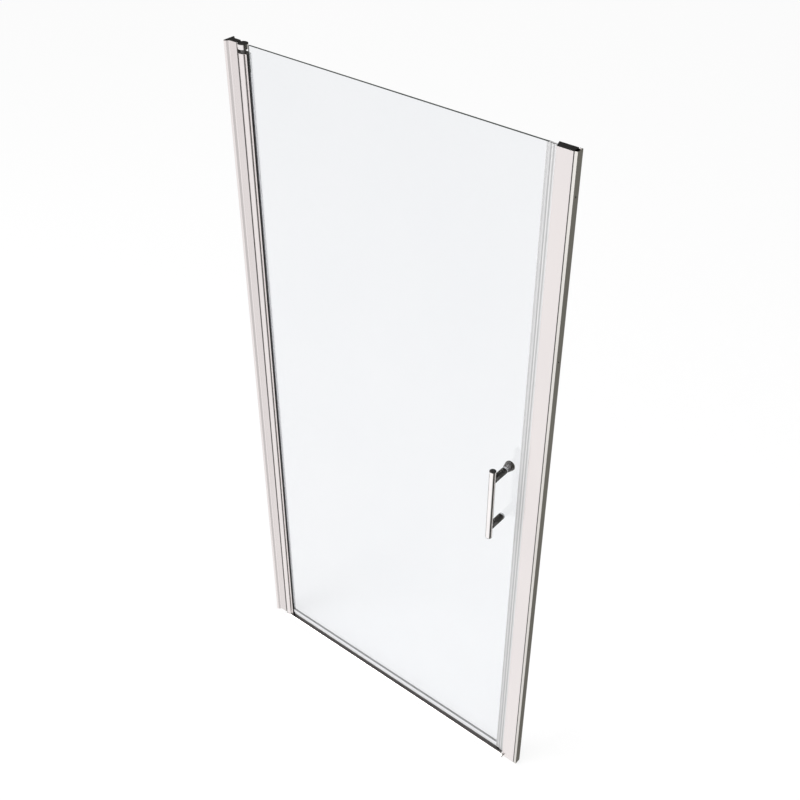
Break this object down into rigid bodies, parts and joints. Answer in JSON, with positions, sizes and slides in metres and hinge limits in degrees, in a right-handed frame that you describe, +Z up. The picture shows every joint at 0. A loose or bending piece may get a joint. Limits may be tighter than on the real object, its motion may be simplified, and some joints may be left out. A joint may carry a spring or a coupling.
{
  "type": "pivot shower door",
  "caption": "Alcove shower door with one clear glass panel that turns on two pivot pins beside a flared hinge jamb and closes on a magnetic strike profile, with a vertical bar handle.",
  "frame": {"origin": "on the tray, under the threshold bar, half way between the two walls and in the plane of the pivot line", "axes": "+X from the hinge wall to the strike wall, +Y from the room into the shower, +Z up"},
  "size_m": [0.975, 0.0884, 1.95],
  "materials": {
    "polished_aluminium": "bright polished",
    "mill_aluminium": "satin",
    "black_plastic": "matt moulded",
    "grey_plastic": "matt moulded",
    "nylon": "smooth",
    "steel": "bright zinc",
    "chrome": "mirror plated",
    "clear_glass": "clear polished",
    "black_gasket": "matt",
    "clear_seal": "translucent soft",
    "magnet": "matt"
  },
  "bodies": {
    "frame": {"hinge_wall_channel": "mill_aluminium", "hinge_jamb": "polished_aluminium", "jamb_end_cap": "black_plastic", "jamb_fixing_screws": "steel", "jamb_seal": "black_gasket", "top_pivot_head": "polished_aluminium", "top_pivot_cap": "black_plastic", "top_pivot_pin": "steel", "bottom_pivot_head": "polished_aluminium", "bottom_pivot_pin": "steel", "thrust_washer": "nylon", "pivot_head_screws": "steel", "threshold_bar": "polished_aluminium", "threshold_end_cap": "grey_plastic", "strike_wall_channel": "mill_aluminium", "strike_profile": "polished_aluminium", "strike_end_cap": "black_plastic", "strike_fixing_screws": "steel", "fixed_magnet_seal": "clear_seal", "fixed_magnet_strip": "magnet"},
    "door": {"glass_panel": "clear_glass", "hinge_leaf": "polished_aluminium", "front_glazing_gasket": "black_gasket", "back_glazing_gasket": "black_gasket", "top_bush": "nylon", "bottom_bush": "nylon", "sweep_seal": "clear_seal", "door_magnet_seal": "clear_seal", "door_magnet_strip": "magnet", "handle_bar": "chrome", "handle_end_caps": "black_plastic", "upper_handle_post": "chrome", "lower_handle_post": "chrome", "handle_washers": "clear_seal", "glass_sleeves": "clear_seal", "inner_knob": "chrome", "upper_fixing_stud": "steel", "lower_fixing_screw": "steel", "handle_set_screws": "steel"}
  },
  "joints": [
    {"name": "door_pivot", "type": "hinge", "parent": "frame", "child": "door", "pos_m": [-0.438, 0, 0.012], "axis": [0, 0, -1], "range_deg": [0, 100]}
  ]
}
